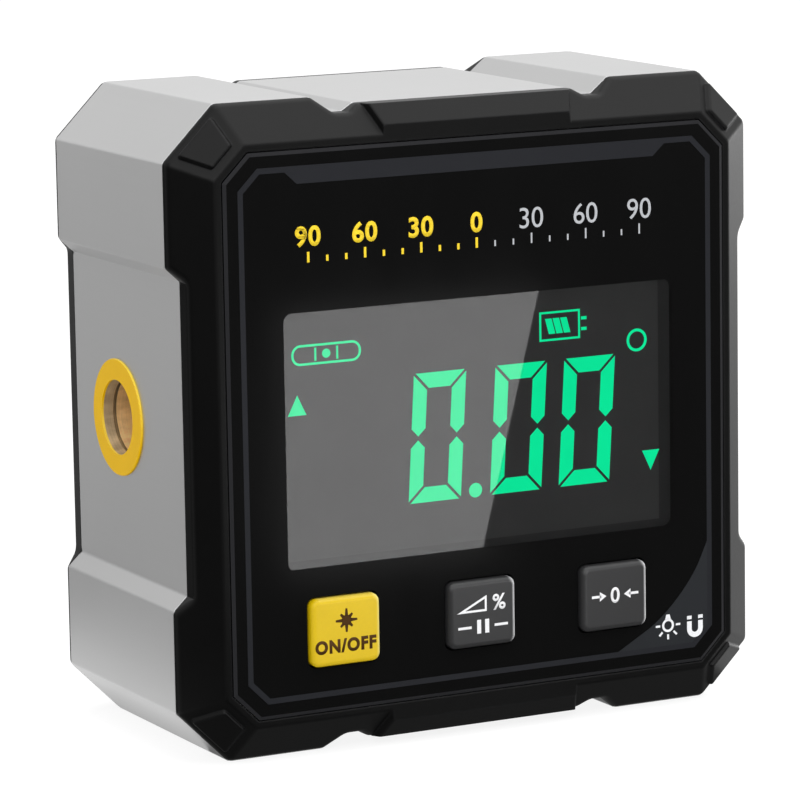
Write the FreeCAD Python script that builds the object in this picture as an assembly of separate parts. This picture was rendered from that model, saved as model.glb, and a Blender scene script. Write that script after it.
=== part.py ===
"""Square digital inclinometer with a side laser: one STEP file per separate piece.

Millimetres. +Z is up, the display faces -Y and the laser leaves through the -X side.
The origin is on the resting plane, below the middle of the overall box.
"""
import FreeCAD, Part
import math
import os

V = FreeCAD.Vector

# ---- overall case ----
WIDTH = 60.0
HEIGHT = 60.0
BODY_DEPTH = 23.8          # aluminium extrusion, seam to seam
CAP_DEPTH = 3.35           # each end moulding, seam to its flat
CORNER = 5.0               # leg of the four corner chamfers
BLOCK_HALF = 15.4          # inner ends of the corner blocks, top and bottom
BLOCK_SLOPE = 1.8          # from a block down to the notch beside it
NOTCH_WIDTH = 1.4
NOTCH_DROP = 1.45
PAD_SLOPE = 1.15           # from a notch up to the middle pad
PAD_DROP = 0.75
SIDE_SET = 1.4             # how far the middle of each side is set back
SIDE_BLOCK = 14.4          # height of the corner blocks on the sides
SIDE_SLOPE = 1.3
EDGE_ROUND = 0.3           # rounded long edges of the extrusion

# ---- extrusion inside ----
CAVITY_INSET = 3.8
CAVITY_CORNER = 9.0        # the four corners stay solid for the screw ports
PORT_INSET = 6.5

# ---- end mouldings ----
CAP_WALL = 0.5             # straight rim before the bevel starts
BEVEL_INSET = 3.5
PAD_RISE = 0.6             # raised pads on the bevel: the long ones
PAD_DRAFT = 0.45
LONG_PAD_SET = 0.3         # a long pad ends this much inside the slope of the case
LONG_PAD_NARROW = 0.4      # how fast it narrows toward the display
CORNER_PAD_RISE = 0.38
CORNER_PAD_START = 0.4     # outer end of a corner pad, in from the edge of the case
CORNER_PAD_INSET = 2.9     # its inner end
CORNER_PAD_MARGIN = 0.65   # bevel left bare beside it
PAD_ROOT = 0.3
PAD_ROUND = 0.25
CAP_ROUND = 0.9            # between the rim and the bevel
FLAT_ROUND = 0.4           # between the bevel and the flat
LIP_LENGTH = 1.5
LIP_THICK = 1.2
LIP_GAP = 0.15
FACE_BACK = 0.65           # rear of the front moulding's face plate, ahead of the seam
KEY_RECESS = 0.4           # the face plate is thinner behind the keys
COVER_INNER = 1.35         # inner face of the rear cover, behind its seam

# ---- front panel ----
PANEL_INSET = 4.25
PANEL_GAP = 0.1
PANEL_THICK = 0.6
PANEL_PROUD = 0.15
PANEL_EDGE = 0.33
PANEL_EDGE_DROP = 0.15
TAPE_THICK = 0.15
TAPE_WIDTH = 1.9

# ---- display ----
GLASS_WIDTH = 43.4
GLASS_HEIGHT = 26.8
GLASS_THICK = 2.5
DISPLAY_DROP = 0.2         # middle of the display, below the middle of the face
GLASS_AIR = 0.2            # between the panel and the display glass
GLASS_GAP = 0.2
LIGHT_WIDTH = 41.6
LIGHT_HEIGHT = 25.6
LED_SPREAD = 6.0           # backlight lamps, above and below the middle
LED_SIZE = (3.0, 1.4)
PIN_COUNT = 12
PIN_PITCH = 2.54
PIN_RADIUS = 0.25
PIN_GRIP = 1.2             # along the edge of the glass
PIN_TAIL = 0.8             # behind the main board

# ---- keys ----
KEYS = ("power", "tilt", "zero")
KEY_LEFT = 15.3            # middle of the first key, from the left side of the case
KEY_RIGHT = 16.6           # middle of the last key, from the right side
KEY_DROP = 18.1            # middle of the keys, below the middle of the display
KEY_WIDTH = 7.0
KEY_HEIGHT = 6.3
KEY_CORNER = 0.8
KEY_PROUD = 0.7            # above the panel
KEY_ROUND = 0.5
KEY_GAP = 0.15
KEY_FLANGE = 0.4
KEY_FLANGE_THICK = 0.75
KEY_STOP = 0.1             # air between the flange and the face plate
SWITCH_SIZE = 5.2
SWITCH_THICK = 1.9
PLUNGER_RADIUS = 1.5
PLUNGER_DEPTH = 0.8        # how far the plunger sits in its switch
PLUNGER_GAP = 0.08
KEY_TRAVEL = 0.3

# ---- main board ----
BOARD_BACK = 2.5           # front of the main board, behind the front seam
BOARD_THICK = 1.2
BOARD_INSET = 5.4
BOARD_CORNER = 7.0
POST_SIDE = 7.4            # posts, in from the sides of the case
POST_LOW = 12.3            # lower posts, above the base
POST_HIGH = 12.5           # upper posts, below the top
POST_RADIUS = 1.8

# ---- on the main board, from its middle: x, z, width, height, thickness ----
MCU = (-10.0, 10.0, 7.0, 7.0, 1.0)
SENSOR = (6.0, 10.0, 3.2, 3.2, 1.0)
CRYSTAL = (-2.5, 15.0, 3.2, 6.5, 1.4)
CHARGER = (-14.0, -8.0, 5.0, 4.0, 1.3)
PASSIVE_SIZE = (1.2, 2.0, 0.6)
PASSIVE_PITCH = 2.2
PASSIVE_COUNT = 5
PASSIVE_ROWS = ((-18.0, 3.5), (2.0, 5.5))
HEADER_SIZE = (4.6, 3.4, 3.4)
HEADERS = {"cell": (9.0, 20.5), "laser": (4.0, 0.0), "usb": (-9.0, -17.5)}

# ---- laser ----
LASER_BACK = 14.2          # axis, behind the front seam
BARREL_BORE = 3.45
BARREL_LENGTH = 20.0
NOSE_WALL = 0.6
BARREL_STEP = 0.45         # barrel radius over its nose
SLEEVE_WALL = 1.0
SLEEVE_SHORT = 0.2         # sleeve end, short of the inner face of the side wall
RING_REBATE = 0.35          # ring radius over its sleeve
RING_PROUD = 0.2
RING_LIP = 0.2
RING_ROUND = 0.12
GROOVE_DEPTH = 0.95
GROOVE_WIDTH = 0.3
GROOVE_CUT = 0.25
LENS_DEPTH = 5.2           # lens face, behind the mouth of the barrel
LENS_THICK = 1.6
NUT_THICK = 0.8
NUT_BORE = 2.0
CAN_CAP_RADIUS = 2.3
CAN_RIM = 0.5              # flange radius over the cap
CAN_THICK = 1.2
BEAM_GAP = 0.1
CAN_CAP_LENGTH = 2.2
CAN_POCKET = 4.0           # depth of the diode's pocket in the barrel's rear end
LEG_RADIUS = 0.25
LEG_LENGTH = 3.6
LEG_STEP = 1.1
DRIVER_SIZE = (10.0, 0.8, 5.0)
DRIVER_GAP = 0.4           # from the diode's flange to its board
FIT_GAP = 0.05
HOLDER_LENGTH = 10.0
HOLDER_WALL = 1.9
HOLDER_EAR = 6.0
HOLDER_EAR_THICK = 2.0

# ---- power ----
CELL_SIZE = (25.0, 5.8, 33.0)
CELL_SIDE_GAP = 2.7        # to the right wall of the cavity
CELL_LIFT = 1.5            # middle of the cell, above the middle of the case
CELL_TAPE = 0.3
CELL_TAPE_SIZE = (17.0, 26.0)
CELL_ROUND = 2.3
USB_X = -9.0
USB_BOARD = (15.0, 14.0, 1.0)
USB_SHELL = (8.94, 7.3, 3.2)
USB_SINK = 1.2             # mouth of the socket, in from the cover's rear face
USB_PLUG_GAP = 0.25
USB_WALL = 0.3
USB_BACK = 1.5             # closed rear of the socket
USB_CORNER = 1.4
USB_TONGUE = (6.6, 5.0, 0.7)
SHELF_THICK = 1.9
SHELF_LIFT = 1.9           # above the floor of the cavity
SHELF_LENGTH = 8.6

# ---- fasteners ----
CASE_SCREW = 1.2
CASE_SCREW_LENGTH = 8.0
CASE_HEAD = 2.0
CASE_HEAD_THICK = 1.2
HEAD_GAP = 0.15
HEAD_SINK = 0.4            # rear screw heads, below the cover's face
SMALL_SCREW = 0.75
SMALL_HEAD = 1.3
SMALL_HEAD_THICK = 0.8
SMALL_LENGTH = 3.4
SLOT_WIDTH = 0.35
SLOT_LENGTH = 0.6          # share of the head's radius, each way

# ---- base magnets and rear label ----
MAGNET_RADIUS = 4.0
MAGNET_THICK = 3.0
MAGNET_SINK = 0.1
MAGNET_END_GAP = 2.3       # from a seam to the nearer magnets
LABEL_WIDTH = 34.0
LABEL_HEIGHT = 22.0
LABEL_THICK = 0.15
LABEL_LIFT = 3.0

# ---- internal leads ----
WIRE_RADIUS = 0.45
WIRE_STEP = 1.2
WIRE_BEND = 0.45           # share of the shorter run that a bend takes
USB_LEAD_INSET = 1.5

# ---- how closely shapes are compared ----
TINY = 1e-6
SMALLEST_TURN = 0.1        # radians

# ---- places worked out from the sizes above ----
HALF_W = WIDTH / 2
HALF_H = HEIGHT / 2
NOTCH_OUTER = BLOCK_HALF - BLOCK_SLOPE
NOTCH_INNER = NOTCH_OUTER - NOTCH_WIDTH
PAD_HALF = NOTCH_INNER - PAD_SLOPE
FRONT_PROUD = PANEL_PROUD + KEY_PROUD
FRONT_SEAM = FRONT_PROUD + CAP_DEPTH - (FRONT_PROUD + BODY_DEPTH + 2 * CAP_DEPTH) / 2
REAR_SEAM = FRONT_SEAM + BODY_DEPTH
BODY_MID = (FRONT_SEAM + REAR_SEAM) / 2
FRONT_FLAT = FRONT_SEAM - CAP_DEPTH
REAR_FLAT = REAR_SEAM + CAP_DEPTH
PANEL_FRONT = FRONT_FLAT - PANEL_PROUD
PANEL_BACK = PANEL_FRONT + PANEL_THICK
FACE_FRONT = PANEL_BACK + TAPE_THICK
FACE_REAR = FRONT_SEAM - FACE_BACK
KEY_FRONT = PANEL_FRONT - KEY_PROUD
FLANGE_FRONT = FACE_REAR - KEY_RECESS + KEY_STOP
FLANGE_BACK = FLANGE_FRONT + KEY_FLANGE_THICK
DISPLAY_Z = HALF_H - DISPLAY_DROP
KEY_Z = DISPLAY_Z - KEY_DROP
KEY_PITCH = (WIDTH - KEY_LEFT - KEY_RIGHT) / (len(KEYS) - 1)
KEY_X = [KEY_LEFT - HALF_W + i * KEY_PITCH for i in range(len(KEYS))]
GLASS_FRONT = PANEL_BACK + GLASS_AIR
GLASS_BACK = GLASS_FRONT + GLASS_THICK
BOARD_FRONT = FRONT_SEAM + BOARD_BACK
BOARD_REAR = BOARD_FRONT + BOARD_THICK
COVER_FACE = REAR_SEAM + COVER_INNER
LASER_Y = FRONT_SEAM + LASER_BACK
LASER_Z = HALF_H
NOSE_RADIUS = BARREL_BORE + NOSE_WALL
BARREL_RADIUS = NOSE_RADIUS + BARREL_STEP
SLEEVE_RADIUS = NOSE_RADIUS + FIT_GAP + SLEEVE_WALL
RING_RADIUS = SLEEVE_RADIUS + RING_REBATE
CAN_RADIUS = CAN_CAP_RADIUS + CAN_RIM
HOLDER_HALF = BARREL_RADIUS + HOLDER_WALL
SIDE_FACE = HALF_W - SIDE_SET
CAVITY_HALF = HALF_W - CAVITY_INSET
RING_FACE = -SIDE_FACE - RING_PROUD
NOSE_FACE = RING_FACE + RING_LIP
SLEEVE_END = -CAVITY_HALF - SLEEVE_SHORT
BARREL_END = SLEEVE_END + BARREL_LENGTH
LENS_FACE = NOSE_FACE + LENS_DEPTH
SLOPE = (CAP_DEPTH - CAP_WALL) / BEVEL_INSET
BEVEL_COS = 1 / math.hypot(1, SLOPE)
BEVEL_SIN = SLOPE * BEVEL_COS
RIM_ROUND = min(CAP_ROUND, 0.95 * CAP_WALL * (SLOPE + 1 / BEVEL_COS))
CELL_X = CAVITY_HALF - CELL_SIDE_GAP - CELL_SIZE[0] / 2
CELL_Z = HALF_H + CELL_LIFT
USB_BOARD_Z = CAVITY_INSET + SHELF_LIFT + SHELF_THICK
LABEL_Z = HALF_H + LABEL_LIFT
MAGNET_X = (BLOCK_HALF + HALF_W - CORNER) / 2
MAGNET_Y = BODY_DEPTH / 2 - MAGNET_END_GAP - MAGNET_RADIUS
SIDES = [(x, z) for x in (-1, 1) for z in (-1, 1)]
PORTS = [(x * (HALF_W - PORT_INSET), HALF_H + z * (HALF_H - PORT_INSET)) for x, z in SIDES]
POSTS = [(x * (HALF_W - POST_SIDE), z) for x in (-1, 1) for z in (POST_LOW, HEIGHT - POST_HIGH)]


# ---- outlines in the XZ plane ----
def mirrored(quarter):
    """Closed outline from its upper right quarter, given as offsets from the middle of the face."""
    right = quarter + [(x, -z) for x, z in reversed(quarter)]
    whole = right + [(-x, z) for x, z in reversed(right)]
    return [(x, HALF_H + z) for x, z in whole]


def case_outline():
    """Corner blocks, sloped notches beside a middle pad, and set-back sides."""
    return mirrored([
        (PAD_HALF, HALF_H - PAD_DROP),
        (NOTCH_INNER, HALF_H - NOTCH_DROP),
        (NOTCH_OUTER, HALF_H - NOTCH_DROP),
        (BLOCK_HALF, HALF_H),
        (HALF_W - CORNER, HALF_H),
        (HALF_W, HALF_H - CORNER),
        (HALF_W, HALF_H - SIDE_BLOCK),
        (SIDE_FACE, HALF_H - SIDE_BLOCK - SIDE_SLOPE),
    ])


def octagon(inset, leg):
    return mirrored([
        (HALF_W - inset - leg, HALF_H - inset),
        (HALF_W - inset, HALF_H - inset - leg),
    ])


def inset_octagon(inset):
    """The chamfered square of the case, moved inward by the same amount on all eight sides."""
    return octagon(inset, CORNER - inset * (2 - math.sqrt(2)))


def cavity_octagon(extra):
    return octagon(CAVITY_INSET + extra, CAVITY_CORNER - extra * (2 - math.sqrt(2)))


# ---- solids ----
def loop(points, y):
    corners = [V(x, y, z) for x, z in points]
    return Part.makePolygon(corners + corners[:1])


def prism(points, y0, y1):
    return Part.Face(loop(points, y0)).extrude(V(0, y1 - y0, 0))


def flat_sided(first, last):
    """Solid between two closed rows of corners whose matching sides are parallel."""
    faces = [Part.Face(Part.makePolygon(row + row[:1])) for row in (first, last)]
    for i in range(len(first)):
        side = [first[i - 1], first[i], last[i], last[i - 1]]
        faces.append(Part.Face(Part.makePolygon(side + side[:1])))
    solid = Part.Solid(Part.Shell(faces))
    if solid.Volume < 0:
        solid.reverse()
    return solid


def taper(points0, y0, points1, y1):
    return flat_sided([V(x, y0, z) for x, z in points0], [V(x, y1, z) for x, z in points1])


def box(x0, x1, y0, y1, z0, z1):
    return Part.makeBox(x1 - x0, y1 - y0, z1 - z0, V(x0, y0, z0))


def centred_box(x, z, width, height, y0, y1):
    return box(x - width / 2, x + width / 2, y0, y1, z - height / 2, z + height / 2)


def rod(x, z, radius, y0, y1):
    return Part.makeCylinder(radius, y1 - y0, V(x, y0, z), V(0, 1, 0))


def tube_x(radius, x0, x1):
    """A round length on the laser's axis."""
    return Part.makeCylinder(radius, x1 - x0, V(x0, LASER_Y, LASER_Z), V(1, 0, 0))


def edges_along_y(shape):
    return [e for e in shape.Edges
            if isinstance(e.Curve, Part.Line) and abs(abs(e.tangentAt(e.FirstParameter).y) - 1) < TINY]


def edges_at_y(shape, y):
    return [e for e in shape.Edges if e.BoundBox.YMin > y - TINY and e.BoundBox.YMax < y + TINY]


def turning_edges(shape, low, high):
    """Edges between two depths whose faces meet at an angle."""
    found = []
    for edge in shape.Edges:
        middle = edge.valueAt((edge.FirstParameter + edge.LastParameter) / 2)
        faces = shape.ancestorsOfType(edge, Part.Face)
        if len(faces) == 2 and low < middle.y < high:
            first, second = [face.normalAt(*face.Surface.parameter(middle)) for face in faces]
            if first.getAngle(second) > SMALLEST_TURN:
                found.append(edge)
    return found


def rounded_box(x, z, width, height, radius, y0, y1):
    block = centred_box(x, z, width, height, y0, y1)
    return block.makeFillet(radius, edges_along_y(block))


def joined(shapes):
    return shapes[0].multiFuse(shapes[1:]).removeSplitter()


def group(shapes):
    return Part.makeCompound(shapes)


def screw(head, head_thick, shank, length):
    """A cross-slotted screw along +Z, with the top of its head at the origin."""
    body = Part.makeCylinder(head, head_thick, V(0, 0, -head_thick))
    body = body.fuse(Part.makeCylinder(shank, length, V(0, 0, -head_thick - length)))
    reach = head * SLOT_LENGTH
    deep = head_thick / 2
    for turn in (0, 90):
        slot = Part.makeBox(2 * reach, SLOT_WIDTH, deep, V(-reach, -SLOT_WIDTH / 2, -deep))
        slot.rotate(V(), V(0, 0, 1), turn)
        body = body.cut(slot)
    return body


def placed(shape, x, y, z, axis):
    """A copy whose +Z points along axis, at (x, y, z)."""
    turned = shape.copy()
    turned.Placement = FreeCAD.Placement(V(x, y, z), FreeCAD.Rotation(V(0, 0, 1), axis))
    return turned


def case_screw():
    return screw(CASE_HEAD, CASE_HEAD_THICK, CASE_SCREW, CASE_SCREW_LENGTH)


def small_screw():
    return screw(SMALL_HEAD, SMALL_HEAD_THICK, SMALL_SCREW, SMALL_LENGTH)


# ---- case ----
def body_frame():
    """Aluminium extrusion: open front and rear, a laser hole in the left side, magnet pockets below."""
    frame = prism(case_outline(), FRONT_SEAM, REAR_SEAM)
    frame = frame.makeFillet(EDGE_ROUND, edges_along_y(frame))
    cuts = [prism(cavity_octagon(0), FRONT_SEAM, REAR_SEAM)]
    cuts += [rod(x, z, CASE_SCREW + FIT_GAP, FRONT_SEAM, REAR_SEAM) for x, z in PORTS]
    cuts.append(tube_x(SLEEVE_RADIUS + FIT_GAP, -HALF_W, -CAVITY_HALF))
    pocket = MAGNET_SINK + MAGNET_THICK
    cuts += [Part.makeCylinder(MAGNET_RADIUS + FIT_GAP, pocket, V(x, y, 0)) for x, y in magnet_places()]
    return frame.cut(cuts)


def magnet_places():
    return [(x * MAGNET_X, BODY_MID + y * MAGNET_Y) for x, y in SIDES]


def magnets():
    return group([Part.makeCylinder(MAGNET_RADIUS, MAGNET_THICK, V(x, y, MAGNET_SINK))
                  for x, y in magnet_places()])


def raised_pad(middle, inward, rows, rise):
    """A pad on the bevel. rows: (inset, half length) at its outer and inner end, measured at its foot."""
    along = (-inward[1], inward[0])
    rings = []
    for lift, draft in ((-PAD_ROOT, 0), (rise, PAD_DRAFT)):
        corners = []
        for (inset, half), side in zip((rows[0], rows[0], rows[1], rows[1]), (-1, 1, 1, -1)):
            shift = side * (half - draft)
            reach = inset - lift * BEVEL_SIN
            depth = CAP_WALL + inset * SLOPE + lift * BEVEL_COS
            corners.append(V(middle[0] + along[0] * shift + inward[0] * reach,
                             -depth,
                             middle[1] + along[1] * shift + inward[1] * reach))
        rings.append(corners)
    pad = flat_sided(*rings)
    return pad.makeFillet(PAD_ROUND, pad.Edges)


def cap_pads():
    """Pads on the middles of the top and bottom bevels and on the four corner bevels."""
    past = PAD_RISE + PAD_ROOT
    ends = (-past, BEVEL_INSET + past)
    rows = [(inset, PAD_HALF + PAD_DRAFT - LONG_PAD_SET - LONG_PAD_NARROW * inset) for inset in ends]
    pads = [raised_pad((0, HALF_H + z * HALF_H), (0, -z), rows, PAD_RISE) for z in (-1, 1)]
    root = math.sqrt(0.5)

    def half_at(inset):
        return CORNER * root - inset * (math.sqrt(2) - 1) - CORNER_PAD_MARGIN

    rows = [(inset, half_at(inset)) for inset in (CORNER_PAD_START, CORNER_PAD_INSET)]
    for x, z in SIDES:
        middle = (x * (HALF_W - CORNER / 2), HALF_H + z * (HALF_H - CORNER / 2))
        pads.append(raised_pad(middle, (-x * root, -z * root), rows, CORNER_PAD_RISE))
    return pads


def cap_outside(pads):
    """Outside of an end moulding that faces the front and has its seam at y = 0."""
    outline = prism(case_outline(), -CAP_DEPTH, 0)
    slope = taper(inset_octagon(0), -CAP_WALL, inset_octagon(BEVEL_INSET), -CAP_DEPTH)
    form = joined([prism(inset_octagon(0), -CAP_WALL, 0), slope]).common(outline)
    form = form.makeFillet(RIM_ROUND, turning_edges(form, TINY - CAP_DEPTH, -TINY))
    form = form.makeFillet(FLAT_ROUND, turning_edges(form, -CAP_DEPTH - TINY, TINY - CAP_DEPTH))
    return joined([form] + pads).common(outline) if pads else form


def cap_form(seam, way):
    """Outside of an end moulding: way is -1 at the front, with pads, and +1 at the plain rear."""
    form = cap_outside(cap_pads() if way < 0 else [])
    if way > 0:
        form = form.mirror(V(), V(0, 1, 0))
    form.translate(V(0, seam, 0))
    return form


def cap_lip(seam, way):
    """Rim that locates an end moulding inside the extrusion."""
    tip = seam - way * LIP_LENGTH
    ring = prism(cavity_octagon(LIP_GAP), seam, tip)
    return ring.cut(prism(cavity_octagon(LIP_GAP + LIP_THICK), seam, tip))


def key_block(x, grow, y0, y1):
    return centred_box(x, KEY_Z, KEY_WIDTH + 2 * grow, KEY_HEIGHT + 2 * grow, y0, y1)


def key_hole(x, y0, y1):
    return rounded_box(x, KEY_Z, KEY_WIDTH + 2 * KEY_GAP, KEY_HEIGHT + 2 * KEY_GAP, KEY_CORNER, y0, y1)


def front_bezel():
    """Front moulding: panel pocket, display opening, key holes and posts for the main board."""
    lip_tip = FRONT_SEAM + LIP_LENGTH
    form = cap_form(FRONT_SEAM, -1).fuse(cap_lip(FRONT_SEAM, -1))
    posts = [rod(x, z, POST_RADIUS, FACE_REAR, BOARD_FRONT) for x, z in POSTS]
    cuts = [prism(inset_octagon(PANEL_INSET - PANEL_GAP), FRONT_FLAT, FACE_FRONT)]
    cuts.append(prism(cavity_octagon(LIP_GAP + LIP_THICK), FACE_REAR, lip_tip))
    cuts.append(centred_box(0, DISPLAY_Z, GLASS_WIDTH + 2 * GLASS_GAP,
                            GLASS_HEIGHT + 2 * (GLASS_GAP + 2 * PIN_RADIUS), FACE_FRONT, FACE_REAR))
    for x in KEY_X:
        cuts.append(key_hole(x, FACE_FRONT, FACE_REAR))
        cuts.append(key_block(x, KEY_FLANGE + KEY_GAP, FACE_REAR - KEY_RECESS, FACE_REAR))
    for x, z in PORTS:
        cuts.append(rod(x, z, CASE_SCREW + HEAD_GAP, FACE_FRONT, FRONT_SEAM))
        cuts.append(rod(x, z, CASE_HEAD + HEAD_GAP, FACE_FRONT, FACE_FRONT + CASE_HEAD_THICK))
    holes = [rod(x, z, SMALL_SCREW + FIT_GAP, FACE_REAR, BOARD_FRONT) for x, z in POSTS]
    return joined([form.cut(cuts)] + posts).cut(holes)


def front_panel():
    """Glossy panel with a bevelled edge and three key holes."""
    edge = PANEL_FRONT + PANEL_EDGE_DROP
    plate = prism(inset_octagon(PANEL_INSET), edge, PANEL_BACK)
    rim = taper(inset_octagon(PANEL_INSET), edge, inset_octagon(PANEL_INSET + PANEL_EDGE), PANEL_FRONT)
    holes = [key_hole(x, PANEL_FRONT, PANEL_BACK) for x in KEY_X]
    return plate.fuse(rim).removeSplitter().cut(holes)


def panel_tape():
    ring = prism(inset_octagon(PANEL_INSET), PANEL_BACK, FACE_FRONT)
    return ring.cut(prism(inset_octagon(PANEL_INSET + TAPE_WIDTH), PANEL_BACK, FACE_FRONT))


def rear_cover():
    """Rear moulding: closed back with screw wells, charging port, shelf and laser holder holes."""
    form = cap_form(REAR_SEAM, 1).fuse(cap_lip(REAR_SEAM, 1))
    x0 = USB_X - USB_BOARD[0] / 2
    shelf = box(x0, x0 + USB_BOARD[0], COVER_FACE - SHELF_LENGTH, COVER_FACE,
                USB_BOARD_Z - SHELF_THICK, USB_BOARD_Z)
    cuts = [prism(cavity_octagon(LIP_GAP + LIP_THICK), REAR_SEAM - LIP_LENGTH, COVER_FACE)]
    cuts.append(centred_box(0, LABEL_Z, LABEL_WIDTH, LABEL_HEIGHT, REAR_FLAT - LABEL_THICK, REAR_FLAT))
    well = REAR_FLAT - HEAD_SINK - CASE_HEAD_THICK
    for x, z in PORTS:
        cuts.append(rod(x, z, CASE_SCREW + HEAD_GAP, REAR_SEAM, REAR_FLAT))
        cuts.append(rod(x, z, CASE_HEAD + HEAD_GAP, well, REAR_FLAT))
    cuts.append(usb_mouth(COVER_FACE, REAR_FLAT))
    deep = COVER_FACE + SMALL_LENGTH - HOLDER_EAR_THICK + FIT_GAP
    holes = [rod(x, z, SMALL_SCREW + FIT_GAP, COVER_FACE, deep) for x, z in holder_screw_places()]
    holes += [Part.makeCylinder(SMALL_SCREW + FIT_GAP, SHELF_THICK, V(x, y, USB_BOARD_Z - SHELF_THICK))
              for x, y in usb_screw_places()]
    return joined([form.cut(cuts), shelf]).cut(holes)


# ---- display ----
def lcd_glass():
    return centred_box(0, DISPLAY_Z, GLASS_WIDTH, GLASS_HEIGHT, GLASS_FRONT, GLASS_BACK)


def lcd_backlight():
    return centred_box(0, DISPLAY_Z, LIGHT_WIDTH, LIGHT_HEIGHT, GLASS_BACK, BOARD_FRONT)


def backlight_leds():
    """Lamps on the main board, beside both ends of the light plate."""
    width = (GLASS_WIDTH - LIGHT_WIDTH) / 2
    height, thick = LED_SIZE
    x0 = (LIGHT_WIDTH + width) / 2
    front = BOARD_FRONT - thick
    return group([centred_box(x * x0, DISPLAY_Z + z * LED_SPREAD, width, height, front, BOARD_FRONT)
                  for x, z in SIDES])


def pin_places():
    first = -PIN_PITCH * (PIN_COUNT - 1) / 2
    return [(first + i * PIN_PITCH, DISPLAY_Z - GLASS_HEIGHT / 2 - PIN_RADIUS) for i in range(PIN_COUNT)]


def lcd_pins():
    """Legs along the lower edge of the display glass, soldered through the main board."""
    front = GLASS_BACK - PIN_GRIP
    return group([rod(x, z, PIN_RADIUS, front, BOARD_REAR + PIN_TAIL) for x, z in pin_places()])


# ---- main board ----
def main_pcb():
    plate = prism(octagon(BOARD_INSET, BOARD_CORNER), BOARD_FRONT, BOARD_REAR)
    holes = [rod(x, z, SMALL_SCREW + FIT_GAP, BOARD_FRONT, BOARD_REAR) for x, z in POSTS]
    holes += [rod(x, z, PIN_RADIUS + FIT_GAP, BOARD_FRONT, BOARD_REAR) for x, z in pin_places()]
    return plate.cut(holes)


def pcb_screws():
    return group([placed(small_screw(), x, BOARD_REAR + SMALL_HEAD_THICK, z, V(0, 1, 0)) for x, z in POSTS])


def on_board(x, z, width, height, thick):
    return centred_box(x, HALF_H + z, width, height, BOARD_REAR, BOARD_REAR + thick)


def mcu_chip():
    return on_board(*MCU)


def tilt_sensor():
    return on_board(*SENSOR)


def pcb_parts():
    """Rows of small passives, the crystal and the charge controller."""
    parts = [on_board(*CRYSTAL), on_board(*CHARGER)]
    for x, z in PASSIVE_ROWS:
        parts += [on_board(x + i * PASSIVE_PITCH, z, *PASSIVE_SIZE) for i in range(PASSIVE_COUNT)]
    return group(parts)


def wire_headers():
    return group([on_board(x, z, *HEADER_SIZE) for x, z in HEADERS.values()])


# ---- keys ----
def keycap(x):
    """Cap with rounded corners and front edges, and a flange that keeps it behind the face plate."""
    cap = rounded_box(x, KEY_Z, KEY_WIDTH, KEY_HEIGHT, KEY_CORNER, KEY_FRONT, FLANGE_FRONT)
    cap = cap.makeFillet(KEY_ROUND, edges_at_y(cap, KEY_FRONT))
    return cap.fuse(key_block(x, KEY_FLANGE, FLANGE_FRONT, FLANGE_BACK)).removeSplitter()


def plunger(x):
    return rod(x, KEY_Z, PLUNGER_RADIUS, FLANGE_BACK, BOARD_FRONT - SWITCH_THICK + PLUNGER_DEPTH)


def switch_housings():
    shapes = []
    for x in KEY_X:
        front = BOARD_FRONT - SWITCH_THICK
        housing = centred_box(x, KEY_Z, SWITCH_SIZE, SWITCH_SIZE, front, BOARD_FRONT)
        room = PLUNGER_DEPTH + KEY_TRAVEL + PLUNGER_GAP
        shapes.append(housing.cut(rod(x, KEY_Z, PLUNGER_RADIUS + PLUNGER_GAP, front, front + room)))
    return group(shapes)


# ---- laser ----
def laser_ring():
    """Yellow ring around the aperture, with a sleeve through the side wall."""
    ring = tube_x(RING_RADIUS, RING_FACE, -SIDE_FACE).fuse(tube_x(SLEEVE_RADIUS, -SIDE_FACE, SLEEVE_END))
    rim = [e for e in ring.Edges if e.BoundBox.XMax < RING_FACE + TINY]
    ring = ring.makeFillet(RING_ROUND, rim).cut(tube_x(BARREL_BORE + FIT_GAP, RING_FACE, NOSE_FACE))
    return ring.cut(tube_x(NOSE_RADIUS + FIT_GAP, NOSE_FACE, SLEEVE_END))


def laser_barrel():
    """Brass barrel: grooved mouth, lens seat, beam bore and a pocket for the diode."""
    barrel = tube_x(NOSE_RADIUS, NOSE_FACE, SLEEVE_END).fuse(tube_x(BARREL_RADIUS, SLEEVE_END, BARREL_END))
    seat = LENS_FACE + LENS_THICK
    groove = NOSE_FACE + GROOVE_DEPTH
    cuts = [tube_x(BARREL_BORE, NOSE_FACE, seat)]
    cuts.append(tube_x(BARREL_BORE + GROOVE_CUT, groove, groove + GROOVE_WIDTH))
    cuts.append(tube_x(CAN_CAP_RADIUS + BEAM_GAP, seat, BARREL_END))
    cuts.append(tube_x(CAN_RADIUS + FIT_GAP, can_face(), BARREL_END))
    return barrel.cut(cuts)


def can_face():
    return BARREL_END - CAN_POCKET


def laser_nut():
    ring = tube_x(BARREL_BORE - FIT_GAP, LENS_FACE - NUT_THICK, LENS_FACE)
    return ring.cut(tube_x(NUT_BORE, LENS_FACE - NUT_THICK, LENS_FACE))


def laser_lens():
    """Plano-convex lens, its round face inward."""
    radius = BARREL_BORE - FIT_GAP
    disc = tube_x(radius, LENS_FACE, LENS_FACE + LENS_THICK)
    ball = Part.makeSphere(2 * radius, V(LENS_FACE + LENS_THICK - 2 * radius, LASER_Y, LASER_Z))
    return disc.common(ball)


def laser_diode():
    """Can, flange and three legs."""
    back = can_face() + CAN_THICK
    legs = [Part.makeCylinder(LEG_RADIUS, LEG_LENGTH, V(back, leg_y(), LASER_Z + i * LEG_STEP), V(1, 0, 0))
            for i in (-1, 0, 1)]
    cap = tube_x(CAN_CAP_RADIUS, can_face() - CAN_CAP_LENGTH, can_face())
    return joined([tube_x(CAN_RADIUS, can_face(), back), cap] + legs)


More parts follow.
